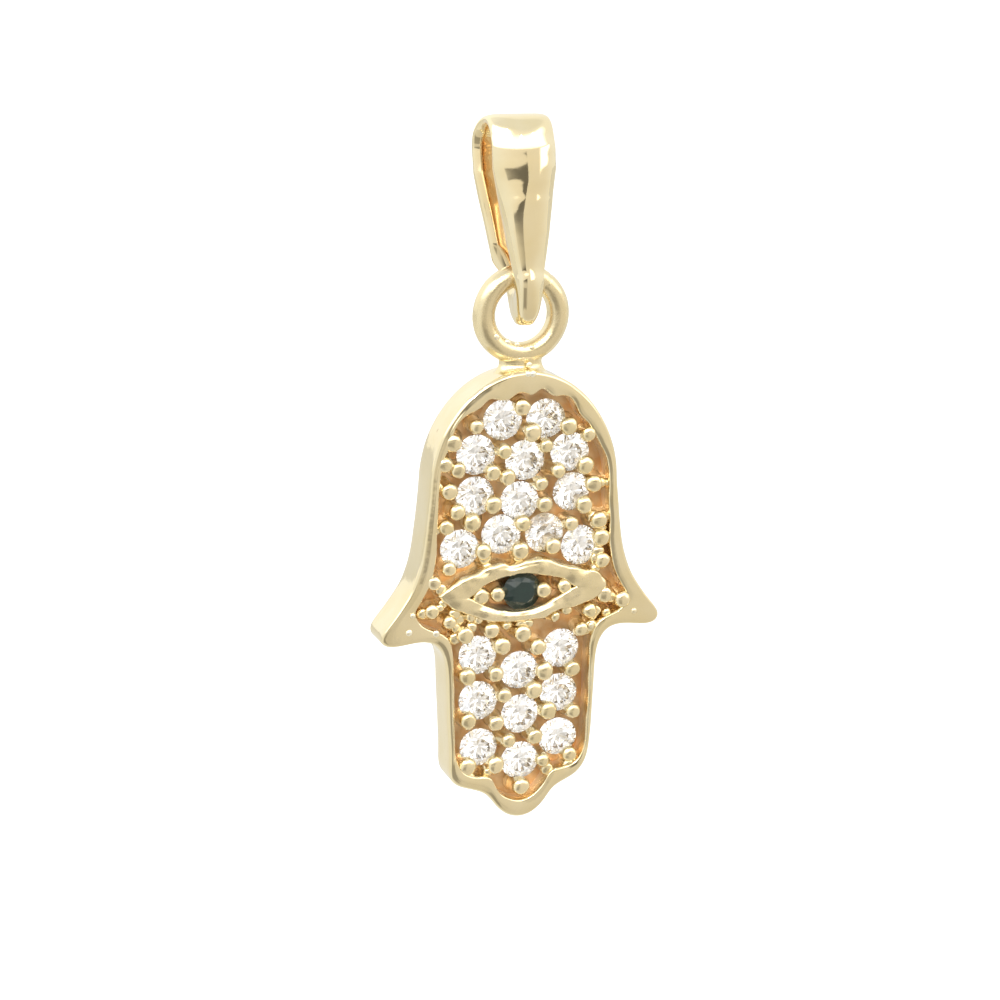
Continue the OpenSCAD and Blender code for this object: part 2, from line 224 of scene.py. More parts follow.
def waves(points, seed, size):
    """Smooth noise from -1 to 1 at each point, with features about size mm across."""
    shift = Vector((seed * 7.31, seed * 3.17, seed * 5.77))
    return np.array([noise.noise(Vector(p) / size + shift) for p in points])


def cast_finish(points, normals, seed, depth, size):
    """Moves points along their normals in shallow waves, as hand polishing leaves cast metal."""
    return points + normals * (waves(points, seed, size) * depth)[:, None]


# Meshes


def placed(name, data):
    """A new object of the scene that holds the given data."""
    obj = bpy.data.objects.new(name, data)
    bpy.context.scene.collection.objects.link(obj)
    return obj


def make_mesh(name, points, faces, materials, smooth=True, sharp=None, indices=None, drawn=True):
    """A closed mesh whose faces point outwards, moved from the drawing frame to the part's."""
    points = np.asarray(points, float)
    if drawn:
        points = (points + DRAWING_ORIGIN) * MM
    mesh = bpy.data.meshes.new(name)
    mesh.from_pydata([tuple(p) for p in points], [], [tuple(f) for f in faces])
    mesh.update()
    mesh.calc_loop_triangles()
    volume = 0
    for t in mesh.loop_triangles:
        a, b, c = (points[i] for i in t.vertices)
        volume += np.dot(a, np.cross(b, c))
    if volume < 0:
        mesh.flip_normals()
    for material in materials:
        mesh.materials.append(material)
    if indices is not None:
        mesh.polygons.foreach_set("material_index", indices)
    mesh.polygons.foreach_set("use_smooth", [smooth] * len(mesh.polygons))
    if sharp is not None:
        mesh.set_sharp_from_angle(angle=math.radians(sharp))
    return placed(name, mesh)


def grid_faces(rows, columns, closed_rows=True):
    """Faces of a grid of points whose columns close on themselves, and its rows too if asked."""
    faces = []
    last = rows if closed_rows else rows - 1
    for i in range(last):
        for j in range(columns):
            a, b = i * columns + j, i * columns + (j + 1) % columns
            k = ((i + 1) % rows) * columns
            faces.append((a, b, k + (j + 1) % columns, k + j))
    return faces


def grid_normals(grid):
    """Outward normals of a doubly closed grid of points."""
    du = np.roll(grid, -1, 0) - np.roll(grid, 1, 0)
    dv = np.roll(grid, -1, 1) - np.roll(grid, 1, 1)
    n = np.cross(du, dv)
    n /= np.maximum(np.linalg.norm(n, axis=2, keepdims=True), 1e-9)
    middle = grid.mean(axis=1, keepdims=True)
    if ((grid - middle) * n).sum() < 0:
        n = -n
    return n


def wall_profile(width, front, back, round_out, round_in, crown, foot_round):
    """A section of a wall across its width: outer side, crowned face, inner side and back."""
    points = []
    for y in np.linspace(back - foot_round, front + round_out, 6)[:-1]:
        points.append((0, y))
    for a in np.radians(np.linspace(0, 90, 7)):
        points.append((round_out * (1 - math.cos(a)), front + round_out * (1 - math.sin(a))))
    span = width - round_out - round_in
    for s in np.linspace(0, 1, 6)[1:-1]:
        points.append((round_out + span * s, front - crown * math.sin(math.pi * s)))
    for a in np.radians(np.linspace(0, 90, 5)):
        points.append((width - round_in * (1 - math.sin(a)), front + round_in * (1 - math.cos(a))))
    inner = len(points)
    for y in np.linspace(front + round_in, back - foot_round, 6)[1:]:
        points.append((width, y))
    for a in np.radians(np.linspace(0, 90, 4))[1:]:
        points.append((width - foot_round * (1 - math.cos(a)), back - foot_round * (1 - math.sin(a))))
    for a in np.radians(np.linspace(90, 0, 4))[:-1]:
        points.append((foot_round * (1 - math.cos(a)), back - foot_round * (1 - math.sin(a))))
    return points, inner


def wall(name, outer, inner, front, back, round_out, round_in, crown, foot_round, seed, depth, size,
         materials):
    """A raised wall between two paired outlines, with a slightly wavy polished surface.

    Its inner side takes the second material, painted with shade down in the recess, as far down as the tray.
    """
    rings = []
    for o, q in zip(outer, inner):
        width = np.linalg.norm(q - o)
        d = (q - o) / width
        section, inner_start = wall_profile(width, front, back, round_out, round_in, crown, foot_round)
        rings.append([(o[0] + d[0] * u, y, o[1] + d[1] * u) for u, y in section])
    grid = np.array(rings)
    normals = grid_normals(grid)
    shape = grid.shape
    points = cast_finish(grid.reshape(-1, 3), normals.reshape(-1, 3), seed, depth, size)
    faces = grid_faces(shape[0], shape[1])
    # From the last strip of the round at the recess down the inner side, in front of the tray: the faces that
    # take the material painted with shade in the recess
    inside = [1 if inner_start - 2 <= j < inner_start + 5 and section[j][1] < TRAY_MIDDLE else 0
              for j in range(shape[1])]
    indices = inside * shape[0]
    return make_mesh(name, points, faces, materials, indices=indices)


def tube(name, path, radii, sides, seed, materials):
    """A closed round wire along a path that lies in the plane of the hand."""
    grid = []
    count = len(path)
    for i in range(count):
        ahead = path[(i + 1) % count] - path[i - 1]
        ahead /= np.linalg.norm(ahead)
        out = np.array([ahead[2], 0, -ahead[0]])
        ring = []
        for a in np.linspace(0, 2 * math.pi, sides, endpoint=False):
            ring.append(path[i] + radii[i] * (out * math.cos(a) + np.array([0, 1, 0]) * math.sin(a)))
        grid.append(ring)
    grid = np.array(grid)
    normals = grid_normals(grid)
    points = cast_finish(grid.reshape(-1, 3), normals.reshape(-1, 3), seed, depth=0.014, size=0.9)
    return make_mesh(name, points, grid_faces(count, sides), materials)


# Materials


def new_material(name):
    material = bpy.data.materials.new(name)
    material.use_nodes = True
    tree = material.node_tree
    return material, tree, tree.nodes["Principled BSDF"]


def add_node(tree, kind, inputs, output=0, **settings):
    """One output of a new node, whose inputs are each fed by another node or set to a value."""
    node = tree.nodes.new(kind)
    for name, value in settings.items():
        setattr(node, name, value)
    for name, value in inputs.items():
        if isinstance(value, bpy.types.NodeSocket):
            tree.links.new(value, node.inputs[name])
        else:
            node.inputs[name].default_value = value
    return node.outputs[output]


def object_place(tree):
    """Object coordinates in m."""
    return add_node(tree, "ShaderNodeTexCoord", {}, "Object")


def in_mm(tree):
    return add_node(tree, "ShaderNodeMapping", {"Vector": object_place(tree), "Scale": (1 / MM,) * 3})


def speckle(tree, vector, scale, detail, roughness=0.5):
    return add_node(tree, "ShaderNodeTexNoise", {
        "Vector": vector, "Scale": scale, "Detail": detail, "Roughness": roughness}, "Fac")


def spread(tree, value, low, high, to_low, to_high, kind="LINEAR"):
    """Maps a value from one range to another, held at its ends."""
    return add_node(tree, "ShaderNodeMapRange", {
        "Value": value, "From Min": low, "From Max": high, "To Min": to_low, "To Max": to_high},
        "Result", interpolation_type=kind)


def joined(tree, kind, a, b=0.0):
    return add_node(tree, "ShaderNodeMath", {0: a, 1: b}, operation=kind)


def times(tree, *values):
    return reduce(lambda a, b: joined(tree, "MULTIPLY", a, b), values)


def blend_colours(tree, factor, first, second):
    return add_node(tree, "ShaderNodeMix", {"Factor": factor, "A": first, "B": second}, "Result",
                    data_type="RGBA")


def ray(tree, kind):
    return add_node(tree, "ShaderNodeLightPath", {}, kind)


PALE_GOLD = (0.875, 0.775, 0.520, 1)
WARM_GOLD = (0.850, 0.735, 0.455, 1)
# The same gold painted darker for the ring and the neck: painted shade
RING_GOLD_PAINTED_DARKER = (0.780, 0.680, 0.440, 1)
# Painted shade deep in the recess: a dark red brown on its floor, a lighter brown on its sides
FLOOR_PAINTED_SHADE_GOLD = (0.71, 0.40, 0.18, 1)
SIDE_PAINTED_SHADE_GOLD = (0.86, 0.66, 0.48, 1)
# The same gold painted paler for the beads, the grains and the eye band: painted light
BEAD_GOLD_PAINTED_PALER = (0.930, 0.815, 0.545, 1)
# The paler colour the gold is painted where it is seen in other metal: painted light in its reflections
PAINTED_ECHO_GOLD = (0.94, 0.85, 0.73, 1)
# How much rougher the gold is at the bottom of the recess
DEEP_DULLER = 0.30


def gold_material(name, recess=None, dull=(0.07, 0.15), waviness=0.35, light=PALE_GOLD, painted_echo=0.2):
    """Pale gold with soft waves and fine wear. Between two depths it is painted a dull red brown, darker on
    the floor than on the sides: painted shade deep in the recess.

    It is painted paler where it is seen in other metal, by the share echo: painted light in its reflections,
    standing for the light among gold walls.
    """
    material, tree, shader = new_material(name)
    mm = in_mm(tree)
    tone = spread(tree, speckle(tree, mm, scale=0.9, detail=3), 0.35, 0.65, 0, 1)
    colour = blend_colours(tree, tone, light, WARM_GOLD)
    rough = spread(tree, speckle(tree, mm, scale=5.0, detail=4, roughness=0.6), 0.3, 0.7, *dull)
    # Painted shade: between the given depths the colour turns red brown in noise patches, darkest where the
    # surface faces the front. The gold is also rougher there.
    if recess:
        depth = add_node(tree, "ShaderNodeSeparateXYZ", {0: object_place(tree)}, "Y")
        face = DRAWING_ORIGIN[1] * MM
        deep_shade_and_dull = spread(tree, depth, face + recess[0] * MM, face + recess[1] * MM, 0, 1)
        shade_patches = spread(tree, speckle(tree, mm, scale=2.4, detail=3), 0.38, 0.62, 0.66, 1.0)
        normal = add_node(tree, "ShaderNodeTexCoord", {}, "Normal")
        facing = joined(tree, "ABSOLUTE", add_node(tree, "ShaderNodeSeparateXYZ", {0: normal}, "Y"))
        brown = blend_colours(tree, spread(tree, facing, 0.3, 0.8, 0, 1), SIDE_PAINTED_SHADE_GOLD, FLOOR_PAINTED_SHADE_GOLD)
        colour = blend_colours(tree, times(tree, deep_shade_and_dull, shade_patches), colour, brown)
        rough = joined(tree, "ADD", rough, spread(tree, deep_shade_and_dull, 0, 1, 0, DEEP_DULLER))
    # Painted light: seen in other metal, the colour is lifted towards the paler gold by the given share
    paler = spread(tree, ray(tree, "Is Glossy Ray"), 0, 1, 0, painted_echo)
    tree.links.new(blend_colours(tree, paler, colour, PAINTED_ECHO_GOLD), shader.inputs["Base Color"])
    shader.inputs["Metallic"].default_value = 1.0
    tree.links.new(rough, shader.inputs["Roughness"])
    waves_in_polish = add_node(tree, "ShaderNodeBump", {
        "Strength": waviness, "Distance": 0.02 * MM, "Height": speckle(tree, mm, scale=2.6, detail=2)})
    fine_wear = add_node(tree, "ShaderNodeBump", {
        "Strength": 0.12, "Distance": 0.003 * MM, "Normal": waves_in_polish,
        "Height": speckle(tree, mm, scale=22.0, detail=3, roughness=0.6)})
    tree.links.new(fine_wear, shader.inputs["Normal"])
    return material


def stone_material(name, colour, ior, clear, rough):
    """A cut stone. The faint variation is the play of polish from facet to facet."""
    material, tree, shader = new_material(name)
    tone = spread(tree, speckle(tree, in_mm(tree), scale=3.0, detail=1), 0.3, 0.7, 0, 1)
    darker = tuple(c * 0.93 for c in colour[:3]) + (1,)
    tree.links.new(blend_colours(tree, tone, colour, darker), shader.inputs["Base Color"])
    shader.inputs["Roughness"].default_value = rough
    shader.inputs["IOR"].default_value = ior
    shader.inputs["Transmission Weight"].default_value = clear
    return material


polished = gold_material("pale_gold_polished")
# The bail's gold is painted fully paler where it is seen in other metal: painted light in its reflections
bright_polish = gold_material("pale_gold_bright_polish", dull=(0.04, 0.08), waviness=0.05, painted_echo=1.0)
satin = gold_material("pale_gold_satin", dull=(0.20, 0.30), waviness=0.6, light=RING_GOLD_PAINTED_DARKER)
carved = gold_material("pale_gold_carved", dull=(0.20, 0.30), waviness=0.6, light=BEAD_GOLD_PAINTED_PALER)
# These three are painted a darker red brown deeper in the recess: painted shade. On the beads it starts lower
# down, at their feet.
in_tray = gold_material("pale_gold_in_tray", recess=(0.10, 0.55), waviness=0.6, painted_echo=0.45)
in_eye = gold_material("pale_gold_in_eye", recess=(0.10, 0.55), dull=(0.22, 0.32), waviness=0.6, painted_echo=0.45)
bead_gold = gold_material("pale_gold_beads", recess=(0.42, 0.82), dull=(0.17, 0.27), waviness=0.5,
                          light=BEAD_GOLD_PAINTED_PALER, painted_echo=0.45)
# Near white gold for the small grains: a painted highlight on each
painted_glint = gold_material("pale_gold_glint", dull=(0.30, 0.40), waviness=0.0, light=(1.0, 0.97, 0.82, 1))
white_stone = stone_material("white_stone_cut", (0.950, 0.968, 0.985, 1), ior=2.15, clear=1.0, rough=0.0)
dark_stone = stone_material("dark_green_stone_cut", (0.006, 0.026, 0.022, 1), ior=1.62, clear=0.20,
                            rough=0.03)


# The hand


def crown_pairs():
    """The crown from its right foot over the top to its left foot: outer x, z and inner x, z."""
    foot = np.array([0, DOME_FOOT_Z])
    edge = spline(CROWN_EDGE, 8) - foot
    bearing = np.arctan2(edge[:, 1], edge[:, 0])[::-1]
    reach = np.linalg.norm(edge, axis=1)[::-1]
    short, joining = 8, 0.12  # degrees left to the sides at each foot, radians over which the edges join
    pairs = []
    for turn in np.radians(np.linspace(short, 180 - short, 150)):
        outer = np.array([PALM_HALF_W * math.cos(turn), DOME_H * math.sin(turn)])
        angle = math.atan2(outer[1], outer[0])
        plain = 1 / math.hypot(math.cos(angle) / RECESS_HALF_W, math.sin(angle) / RECESS_H)
        inside = np.interp(angle, bearing, reach)
        fade = clamp(min(angle - bearing[0], bearing[-1] - angle) / joining)
        r = plain + (inside - plain) * fade
        pairs.append((*(outer + foot), r * math.cos(angle), r * math.sin(angle) + foot[1]))
    return pairs


def hand_outlines(count):
    """The outer edge and the edge of the recess, point by point, right round the hand."""
    right = spline(EDGE_PAIRS, 10)
    left = right * np.array([-1, 1, -1, 1])
    off_lobe = (left[:, 0] - LEFT_LOBE[0]) ** 2 + (left[:, 1] - LEFT_LOBE[1]) ** 2
    left[:, :2] += np.outer(np.exp(-off_lobe / LOBE_REACH ** 2), LOBE_SWELL)
    ring = np.vstack([crown_pairs(), left, right[-2::-1]])
    ring = softened(spaced(ring, count, closed=True), passes=9)
    outer, inner = ring[:, :2], softened(ring[:, 2:], passes=13)
    rate, uneven = 1.3, 0.035
    wobble = [[noise.noise(Vector((x * rate, k * 9.1, z * rate))) for k in (1, 2)] for x, z in inner]
    return outer, inner + np.array(wobble) * uneven


def make_rim():
    """The raised border right round the hand. Its inner side shares the tray's colours, with their painted
    shade in the recess.
    """
    outer, inner = hand_outlines(640)
    return wall("rim", outer, inner, front=0, back=HAND_T, round_out=0.14, round_in=0.075, crown=0.020,
                foot_round=0.14, seed=3, depth=0.014, size=1.1, materials=[polished, in_tray])


def make_tray():
    """The pierced floor: a flat plate with a light hole behind each stone."""
    outer, inner = hand_outlines(220)
    edge = (outer + inner) / 2
    edge_round = 0.04
    data = bpy.data.curves.new("tray", "CURVE")
    data.dimensions = "2D"
    data.fill_mode = "BOTH"
    data.extrude = FLOOR_T / 2 - edge_round
    data.bevel_depth = edge_round
    data.bevel_resolution = 2
    loops = [edge]
    for x, z in STONES + [EYE_STONE]:
        loops.append(circle((x, z), LIGHT_HOLE_R + edge_round, 24))
    for loop in loops:
        line = data.splines.new("POLY")
        line.points.add(len(loop) - 1)
        for point, (x, z) in zip(line.points, loop):
            point.co = (x, z, 0, 1)
        line.use_cyclic_u = True
    flat = placed("tray_flat", data)
    plate = bpy.data.meshes.new_from_object(flat.evaluated_get(bpy.context.evaluated_depsgraph_get()))
    bpy.data.objects.remove(flat)
    points = np.array([v.co for v in plate.vertices])
    drawn = np.stack([points[:, 0], TRAY_MIDDLE - points[:, 2], points[:, 1]], 1)
    faces = [tuple(p.vertices) for p in plate.polygons]
    depth = [drawn[list(f), 1].mean() for f in faces]
    # The tray's front takes the material painted with shade in the recess
    indices = [1 if d < TRAY_MIDDLE else 0 for d in depth]
    return make_mesh("tray", drawn, faces, [polished, in_tray], sharp=35, indices=indices)


def make_eye_band():
    """The carved band round the eye, tooled all over in small uneven strokes."""
    count = 90
    top, bottom = smooth_path(EYE_TOP, count), smooth_path(EYE_BOTTOM, count)
    hole_top, hole_bottom = smooth_path(EYE_HOLE_TOP, count), smooth_path(EYE_HOLE_BOTTOM, count)
    outer = np.vstack([top, bottom[-2:0:-1]])
    inner = np.vstack([hole_top, hole_bottom[-2:0:-1]])
    band = wall("eye_band", outer, inner, front=-0.03, back=FLOOR_DEPTH + 0.05, round_out=0.15,
                round_in=0.11, crown=0.030, foot_round=0.02, seed=11, depth=0.052, size=0.40,
                materials=[carved, in_eye])
    tooled = waves([v.co / MM for v in band.data.vertices], seed=12, size=0.19) * 0.018 * MM
    for vertex, push in zip(band.data.vertices, tooled):
        vertex.co += vertex.normal * push
    return band


def crown_height(x):
    """Height of the hand's outer edge over the crown."""
    return DOME_FOOT_Z + DOME_H * math.sqrt(max(0.0, 1 - (x / PALM_HALF_W) ** 2))


def make_top_ring():
    """The fixed ring on the crown, with a faint pinch where its wire is soldered shut."""
    count = 160
    turns = np.linspace(0, 2 * math.pi, count, endpoint=False)
    path = np.array([[RING_R * math.sin(a), HAND_T / 2, RING_R * math.cos(a)] for a in turns])
    seam, seam_width, seam_depth = math.radians(38), 0.035, 0.05
    pinch = np.exp(-((turns - seam) / seam_width) ** 2)
    radii = WIRE_R * (1 - seam_depth * pinch)
    return tube("top_ring", path, radii, sides=36, seed=21, materials=[satin])


def make_neck():
    """A soldered neck: a fillet that leaves the ring's wire and lands on the crown, tangent to both."""
    sides, rows, pull = 72, 22, 0.55
    around_ring, around_wire = math.radians(29), math.radians(72)
    foot_half_w, foot_half_d = 0.92, 0.47
    sunk_in_wire, sunk_in_crown = 0.008, 0.018
    heart_z, foot_z = -1.50, -1.76
    middle = np.array([0, HAND_T / 2, 0])

    def on_wire(a, b):
        reach = RING_R + (WIRE_R - sunk_in_wire) * math.cos(b)
        return middle + np.array([reach * math.sin(a), WIRE_R * math.sin(b), -reach * math.cos(a)])

    def on_crown(x, y):
        return middle + np.array([x, y, crown_height(x) - sunk_in_crown])

    def unit(v):
        return v / np.linalg.norm(v)

    grid = []
    for turn in np.linspace(0, 2 * math.pi, sides, endpoint=False):
        c, d = math.cos(turn), math.sin(turn)
        start, end = on_wire(around_ring * c, around_wire * d), on_crown(foot_half_w * c, foot_half_d * d)
        leave = unit(on_wire(around_ring * c * 0.98, around_wire * d * 0.98) - start) * pull
        land = unit(on_crown(foot_half_w * c * 1.02, foot_half_d * d * 1.02) - end) * pull
        column = []
        for t in np.linspace(0, 1, rows):
            column.append((2 * t ** 3 - 3 * t * t + 1) * start + (t ** 3 - 2 * t * t + t) * leave
                          + (3 * t * t - 2 * t ** 3) * end + (t ** 3 - t * t) * land)
        grid.append(column)
    grid = np.array(grid).transpose(1, 0, 2)
    points = grid.reshape(-1, 3)
    away = points - middle - np.array([0, 0, heart_z])
    away /= np.linalg.norm(away, axis=1, keepdims=True)
    points = cast_finish(points, away, seed=41, depth=0.016, size=0.45)
    points = np.vstack([points, middle + np.array([0, 0, -RING_R]), middle + np.array([0, 0, foot_z])])
    faces = grid_faces(rows, sides, closed_rows=False)
    top, bottom = len(points) - 2, len(points) - 1
    for j in range(sides):
        k = (j + 1) % sides
        faces.append((top, k, j))
        faces.append((bottom, (rows - 1) * sides + j, (rows - 1) * sides + k))
    return make_mesh("neck", points, faces, [satin])


# Pieces that repeat: each tree puts one shape on every marked point


def scatter_tree():
    """Puts a turned and sized copy of a piece on each mark, and makes the copies a little uneven."""
    tree = bpy.data.node_groups.new("set_on_marks", "GeometryNodeTree")
    numbers = ("Tilt", "Spin", "Smallest", "Largest", "Lowest", "Highest", "Uneven")
    for name, kind in [("Marks", "Geometry"), ("Piece", "Object"), ("Finish", "Material"),
                       *[(name, "Float") for name in numbers], ("Seed", "Int")]:
        tree.interface.new_socket(name, in_out="INPUT", socket_type="NodeSocket" + kind)
    tree.interface.new_socket("Set pieces", in_out="OUTPUT", socket_type="NodeSocketGeometry")
    given = tree.nodes.new("NodeGroupInput").outputs

    def chance(low, high, shift):
        # Inputs 2 and 3 and output 1 are those for plain numbers
        seed = joined(tree, "ADD", given["Seed"], shift)
        return add_node(tree, "FunctionNodeRandomValue", {2: low, 3: high, "Seed": seed}, 1)

    def vector(x, y, z):
        return add_node(tree, "ShaderNodeCombineXYZ", {0: x, 1: y, 2: z})

    tilt, less_tilt = given["Tilt"], joined(tree, "MULTIPLY", given["Tilt"], -1)
    turn = vector(chance(less_tilt, tilt, 1), chance(0.0, given["Spin"], 2), chance(less_tilt, tilt, 3))
    wide = chance(given["Smallest"], given["Largest"], 4)
    size = vector(wide, chance(given["Lowest"], given["Highest"], 5), wide)
    piece = add_node(tree, "GeometryNodeObjectInfo", {"Object": given["Piece"]}, "Geometry")
    copies = add_node(tree, "GeometryNodeInstanceOnPoints", {
        "Points": given["Marks"], "Instance": piece, "Rotation": turn, "Scale": size}, "Instances")
    real = add_node(tree, "GeometryNodeRealizeInstances", {"Geometry": copies})
    lump_mm = 0.40
    cloud = add_node(tree, "ShaderNodeTexNoise", {
        "Vector": add_node(tree, "GeometryNodeInputPosition", {}), "Scale": 1 / (lump_mm * MM), "Detail": 1},
        "Color")
    push = add_node(tree, "ShaderNodeVectorMath", {0: cloud, 1: (0.5, 0.5, 0.5)}, operation="SUBTRACT")
    push = add_node(tree, "ShaderNodeVectorMath", {0: push, "Scale": given["Uneven"]}, operation="SCALE")
    moved = add_node(tree, "GeometryNodeSetPosition", {"Geometry": real, "Offset": push})
    covered = add_node(tree, "GeometryNodeSetMaterial", {"Geometry": moved, "Material": given["Finish"]})
    tree.links.new(covered, tree.nodes.new("NodeGroupOutput").inputs["Set pieces"])
    return tree


SCATTER = scatter_tree()


def set_on_marks(name, marks, piece, finish, tilt=0.0, spin=0.0, sizes=(1.0, 1.0), heights=(1.0, 1.0),
                 uneven=0.0, seed=1):
    """Sets a copy of a small piece on each mark, x, depth and z, and keeps them as one plain mesh."""
    drawn = bpy.data.meshes.new(name + "_marks")
    drawn.from_pydata([tuple((np.array(m) + DRAWING_ORIGIN) * MM) for m in marks], [], [])
    holder = placed(name, drawn)
    modifier = holder.modifiers.new("made", "NODES")
    modifier.node_group = SCATTER
    values = {"Piece": piece, "Finish": finish, "Tilt": math.radians(tilt), "Spin": math.radians(spin),
              "Smallest": sizes[0], "Largest": sizes[1], "Lowest": heights[0], "Highest": heights[1],
              "Uneven": uneven * MM, "Seed": seed}
    for item in SCATTER.interface.items_tree:
        if item.name in values:
            modifier[item.identifier] = values[item.name]
    evaluated = holder.evaluated_get(bpy.context.evaluated_depsgraph_get())
    plain = bpy.data.meshes.new_from_object(evaluated)
    plain.name = name
    plain.materials.clear()
    plain.materials.append(finish)
    plain.polygons.foreach_set("material_index", [0] * len(plain.polygons))
    holder.modifiers.clear()
    holder.data = plain
    bpy.data.meshes.remove(drawn)
    bpy.data.objects.remove(piece)
    return holder


def turned_piece(name, profile, sides):
    """A turned shape on the depth axis, from radius and height towards the viewer."""
    points, faces = [(0, -profile[0][1] * MM, 0)], []
    rings = [p for p in profile if p[0] > 0]
    for r, h in rings:
        for a in np.linspace(0, 2 * math.pi, sides, endpoint=False):
            points.append((r * math.cos(a) * MM, -h * MM, r * math.sin(a) * MM))
    points.append((0, -profile[-1][1] * MM, 0))
    last = len(points) - 1
    for j in range(sides):
        k = (j + 1) % sides
        faces.append((0, 1 + j, 1 + k))
        faces.append((last, last - sides + k, last - sides + j))
        for i in range(len(rings) - 1):
            a = 1 + i * sides
            faces.append((a + j, a + sides + j, a + sides + k, a + k))
    return make_mesh(name, points, faces, [], drawn=False)


def brilliant(name, diameter):
    """A round brilliant with its table towards the viewer: 57 facets and a narrow girdle."""
    r = diameter / 2
    table_r = r * 0.56
    crown_h = (r - table_r) * math.tan(math.radians(34.5))
    star_r = table_r + (r - table_r) * 0.42
    half_girdle = 0.015
    lower_r = r * 0.42
    culet = -half_girdle - r * math.tan(math.radians(40.75))
    star_share, pavilion_share = 0.62, 0.56
    points = []

    def loop(count, radius, height, turn=0.0):
        start = len(points)
        for i in range(count):
            a = math.radians(360 / count * i + turn)
            points.append((radius * math.cos(a) * MM, -height * MM, radius * math.sin(a) * MM))
        return start

    table = loop(8, table_r, half_girdle + crown_h)
    star = loop(8, star_r, half_girdle + crown_h * star_share, 22.5)
    upper = loop(32, r, half_girdle)
    lower = loop(32, r, -half_girdle)
    pavilion = loop(8, lower_r, culet * pavilion_share, 22.5)
    tip = loop(1, 0, culet)
    faces = [tuple(range(table, table + 8))]
    for i in range(8):
        j, h = (i + 1) % 8, (i + 7) % 8
        mid = 4 * i
        faces.append((table + i, star + i, table + j))
        faces.append((table + i, star + h, upper + mid, star + i))
        for base in (mid, mid + 2):
            ends = [upper + (base + s) % 32 for s in (0, 1, 2)]
            faces.append((star + i, *ends))
            ends = [lower + (base + s) % 32 for s in (2, 1, 0)]
            faces.append((pavilion + i, *ends))
        faces.append((lower + mid, pavilion + h, tip, pavilion + i))
    for i in range(32):
        j = (i + 1) % 32
        faces.append((upper + i, lower + i, lower + j, upper + j))
    return make_mesh(name, points, faces, [], smooth=False, drawn=False)


# The outlines of the turned pieces, from the back to the front: radius, height
BEAD = [
    (0, 0), (0.33, 0), (0.28, 0.05), (0.255, 0.15), (0.248, 0.40), (0.248, 0.520), (0.244, 0.558),
    (0.233, 0.596), (0.215, 0.630), (0.191, 0.658), (0.162, 0.680), (0.129, 0.695), (0.091, 0.705),
    (0.048, 0.710), (0, 0.711),
]
GRAIN = [
    (0, 0), (0.26, 0), (0.225, 0.08), (0.215, 0.35), (0.213, 0.455), (0.205, 0.498), (0.188, 0.535),
    (0.160, 0.566), (0.122, 0.588), (0.078, 0.601), (0, 0.606),
]
PIP = [
    (0, -0.06), (0.105, -0.06), (0.105, 0.0), (0.096, 0.026), (0.073, 0.047), (0.040, 0.059), (0, 0.063),
]


def make_prongs():
    marks = [(x, FLOOR_DEPTH + SUNK, z) for x, z in PRONGS]
    return set_on_marks("prongs", marks, turned_piece("bead_shape", BEAD, 28), bead_gold, tilt=6, spin=360,
                        sizes=(0.94, 1.20), heights=(0.96, 1.05), uneven=0.075, seed=5)


def make_grains():
    """Low lumps of metal in rows that join some prongs to the rim and the eye."""
    spacing = 0.24
    first, last, alone = 0.45, 1.05, 0.80  # places along a run, as shares of it
    marks = []
    for x0, z0, x1, z1 in RUNS:
        count = max(1, round(math.hypot(x1 - x0, z1 - z0) / spacing))
        for t in np.linspace(first if count > 1 else alone, last, count):
            marks.append((x0 + (x1 - x0) * t, FLOOR_DEPTH + SUNK, z0 + (z1 - z0) * t))
    return set_on_marks("grains", marks, turned_piece("grain_shape", GRAIN, 24), bead_gold, tilt=12, spin=360,
                        sizes=(0.72, 1.08), heights=(0.84, 1.03), uneven=0.12, seed=17)


def make_pips():
    """Small grains left on the thumbs, on the ring's foot and on the neck, painted near white as highlights.
    """
    marks = [(x, 0.0, z) for x, z in PIPS] + NECK_PIPS
    for x, z in RING_PIPS:
        off_centre = math.hypot(x, z) - RING_R
        front = HAND_T / 2 - math.sqrt(WIRE_R ** 2 - off_centre ** 2)
        marks.append((x, front + PIP_SUNK, z))
    return set_on_marks("pips", marks, turned_piece("pip_shape", PIP, 18), painted_glint, tilt=8, spin=360,
                        sizes=(0.85, 1.15), uneven=0.02, seed=13)


def make_white_stones():
    marks = [(x, GIRDLE_DEPTH, z) for x, z in STONES]
    return set_on_marks("white_stones", marks, brilliant("brilliant_shape", STONE_D), white_stone, tilt=4,
                        spin=45, sizes=(0.985, 1.015), seed=9)


def make_eye_stone():
    marks = [(EYE_STONE[0], GIRDLE_DEPTH, EYE_STONE[1])]
    return set_on_marks("eye_stone_cut", marks, brilliant("dark_brilliant_shape", STONE_D), dark_stone,
                        tilt=2, spin=45, seed=4)


# The bail: about the hinge, before it leans


BAIL_LEAN = math.radians(10)
BAIL_REACH = 3.75
HOLE_R = 0.62
BAIL_WALL = 0.34
HALF_TOP = HOLE_R + BAIL_WALL
HINGE_GAP = 0.045
HINGE_R = WIRE_R + HINGE_GAP
TIP_T = 1.04
LEG_HALF = 0.78
# Half widths at the top and at the hinge. The top keeps its own down to this height.
TOP_HALF_W = 0.975
TIP_HALF_W = 0.48
BAND_FOOT = BAIL_REACH - 0.70
TIP_TAPER = 0.10
# Soft steps down the front leg: height, rise and half length
LEDGES = [(3.77, 0.070, 0.15), (3.28, 0.018, 0.16), (2.19, 0.0185, 0.115), (-0.02, 0.074, 0.16)]
# The crest of the front leg's dome lies this much off its middle, in half widths
RIDGE_HEIGHTS = (-1.2, -0.6, 0.2, 1.8, 2.4, 2.7, 3.4)
RIDGE_SHIFTS = (0.0, 0.34, 0.38, 0.16, 0.02, -0.06, -0.06)
